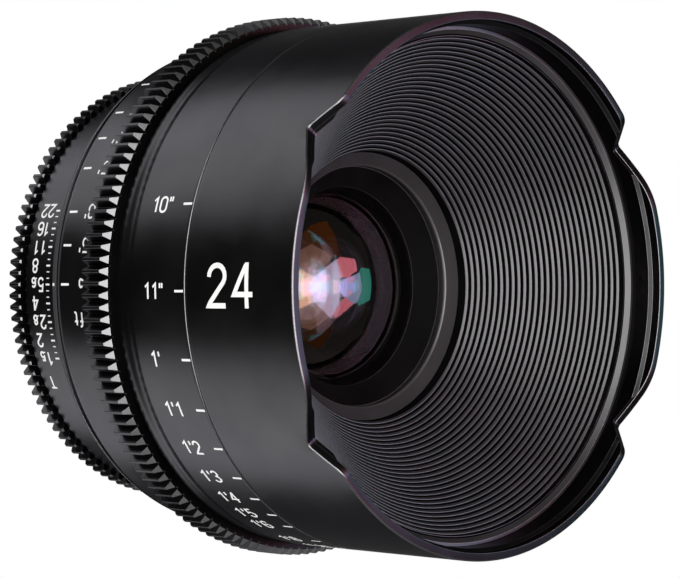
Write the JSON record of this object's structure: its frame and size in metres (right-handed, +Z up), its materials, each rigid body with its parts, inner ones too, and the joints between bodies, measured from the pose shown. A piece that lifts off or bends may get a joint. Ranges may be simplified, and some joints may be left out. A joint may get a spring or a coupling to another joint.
{
  "type": "cinema prime lens",
  "caption": "Wide cinema prime lens with petal hood, grooved front baffle, geared focus and iris rings, bladed iris and a four-lug camera mount.",
  "frame": {"origin": "centre of the mount flange's seat, on the optical axis", "axes": "the lens looks along -Y, +Y points into the camera, +Z is up"},
  "size_m": [0.1192, 0.122, 0.1192],
  "materials": {
    "anodised_black": "black anodised, satin",
    "matt_black": "black anodised, matt",
    "optical_glass": "polished and coated",
    "steel": "turned stainless steel",
    "brass": "turned",
    "blade_black": "black coated spring steel"
  },
  "bodies": {
    "barrel": {"front_element": "optical_glass", "second_element": "optical_glass", "third_element": "optical_glass", "sixth_element": "optical_glass", "seventh_element": "optical_glass", "eighth_element": "optical_glass", "ninth_element": "optical_glass", "tenth_element": "optical_glass", "front_baffle": "matt_black", "front_retainer": "matt_black", "second_spacer": "matt_black", "third_retainer": "matt_black", "iris_base": "matt_black", "iris_cover": "matt_black", "sixth_retainer": "matt_black", "eighth_spacer": "matt_black", "ninth_spacer": "matt_black", "rear_retainer": "matt_black", "rear_baffle": "matt_black", "front_barrel_screws": "steel", "focus_stop_pin": "steel", "index_screws": "steel", "mount_flange": "steel", "mount_screws": "steel", "focus_washer_front": "brass", "focus_washer_rear": "brass", "mount_shim": "brass", "front_barrel": "anodised_black", "front_cell": "anodised_black", "main_barrel": "anodised_black", "rear_barrel": "anodised_black", "index_ring": "anodised_black", "rear_cell": "anodised_black"},
    "focus": {"focus_ring": "anodised_black", "focus_gear": "anodised_black", "focus_sleeve": "brass", "focus_ring_screws": "steel"},
    "carriage": {"focus_carriage": "anodised_black", "fourth_element": "optical_glass", "fifth_element": "optical_glass", "carriage_spacer": "matt_black", "carriage_retainer": "matt_black", "cam_followers": "brass"},
    "iris": {"iris_ring": "anodised_black", "iris_drive_pin": "steel", "iris_cam_ring": "brass"},
    "blade_1": {"iris_blade_1": "blade_black"},
    "blade_2": {"iris_blade_2": "blade_black"},
    "blade_3": {"iris_blade_3": "blade_black"},
    "blade_4": {"iris_blade_4": "blade_black"},
    "blade_5": {"iris_blade_5": "blade_black"},
    "blade_6": {"iris_blade_6": "blade_black"},
    "blade_7": {"iris_blade_7": "blade_black"},
    "blade_8": {"iris_blade_8": "blade_black"},
    "blade_9": {"iris_blade_9": "blade_black"},
    "blade_10": {"iris_blade_10": "blade_black"},
    "blade_11": {"iris_blade_11": "blade_black"}
  },
  "joints": [
    {"name": "focus_turn", "type": "hinge", "parent": "barrel", "child": "focus", "pos_m": [0, 0, 0], "axis": [0, -1, 0], "range_deg": [0, 200]},
    {"name": "carriage_slide", "type": "slide", "parent": "barrel", "child": "carriage", "axis": [0, -1, 0], "range_m": [0, 0.003]},
    {"name": "iris_turn", "type": "hinge", "parent": "barrel", "child": "iris", "pos_m": [0, 0, 0], "axis": [0, -1, 0], "range_deg": [-20, 20]},
    {"name": "blade_1_swing", "type": "hinge", "parent": "barrel", "child": "blade_1", "pos_m": [0.0245, -0.0255, 0], "axis": [0, -1, 0], "range_deg": [-12, 12]},
    {"name": "blade_2_swing", "type": "hinge", "parent": "barrel", "child": "blade_2", "pos_m": [0.02061, -0.0255, 0.01325], "axis": [0, -1, 0], "range_deg": [-12, 12]},
    {"name": "blade_3_swing", "type": "hinge", "parent": "barrel", "child": "blade_3", "pos_m": [0.01018, -0.0255, 0.02229], "axis": [0, -1, 0], "range_deg": [-12, 12]},
    {"name": "blade_4_swing", "type": "hinge", "parent": "barrel", "child": "blade_4", "pos_m": [-0.00349, -0.0255, 0.02425], "axis": [0, -1, 0], "range_deg": [-12, 12]},
    {"name": "blade_5_swing", "type": "hinge", "parent": "barrel", "child": "blade_5", "pos_m": [-0.01604, -0.0255, 0.01852], "axis": [0, -1, 0], "range_deg": [-12, 12]},
    {"name": "blade_6_swing", "type": "hinge", "parent": "barrel", "child": "blade_6", "pos_m": [-0.02351, -0.0255, 0.0069], "axis": [0, -1, 0], "range_deg": [-12, 12]},
    {"name": "blade_7_swing", "type": "hinge", "parent": "barrel", "child": "blade_7", "pos_m": [-0.02351, -0.0255, -0.0069], "axis": [0, -1, 0], "range_deg": [-12, 12]},
    {"name": "blade_8_swing", "type": "hinge", "parent": "barrel", "child": "blade_8", "pos_m": [-0.01604, -0.0255, -0.01852], "axis": [0, -1, 0], "range_deg": [-12, 12]},
    {"name": "blade_9_swing", "type": "hinge", "parent": "barrel", "child": "blade_9", "pos_m": [-0.00349, -0.0255, -0.02425], "axis": [0, -1, 0], "range_deg": [-12, 12]},
    {"name": "blade_10_swing", "type": "hinge", "parent": "barrel", "child": "blade_10", "pos_m": [0.01018, -0.0255, -0.02229], "axis": [0, -1, 0], "range_deg": [-12, 12]},
    {"name": "blade_11_swing", "type": "hinge", "parent": "barrel", "child": "blade_11", "pos_m": [0.02061, -0.0255, -0.01325], "axis": [0, -1, 0], "range_deg": [-12, 12]}
  ],
  "couplings": [
    {"joint": "carriage_slide", "follows": "focus_turn", "m_per_rad": 0.00085944},
    {"joint": "blade_1_swing", "follows": "iris_turn", "ratio": 0.6},
    {"joint": "blade_2_swing", "follows": "iris_turn", "ratio": 0.6},
    {"joint": "blade_3_swing", "follows": "iris_turn", "ratio": 0.6},
    {"joint": "blade_4_swing", "follows": "iris_turn", "ratio": 0.6},
    {"joint": "blade_5_swing", "follows": "iris_turn", "ratio": 0.6},
    {"joint": "blade_6_swing", "follows": "iris_turn", "ratio": 0.6},
    {"joint": "blade_7_swing", "follows": "iris_turn", "ratio": 0.6},
    {"joint": "blade_8_swing", "follows": "iris_turn", "ratio": 0.6},
    {"joint": "blade_9_swing", "follows": "iris_turn", "ratio": 0.6},
    {"joint": "blade_10_swing", "follows": "iris_turn", "ratio": 0.6},
    {"joint": "blade_11_swing", "follows": "iris_turn", "ratio": 0.6}
  ]
}
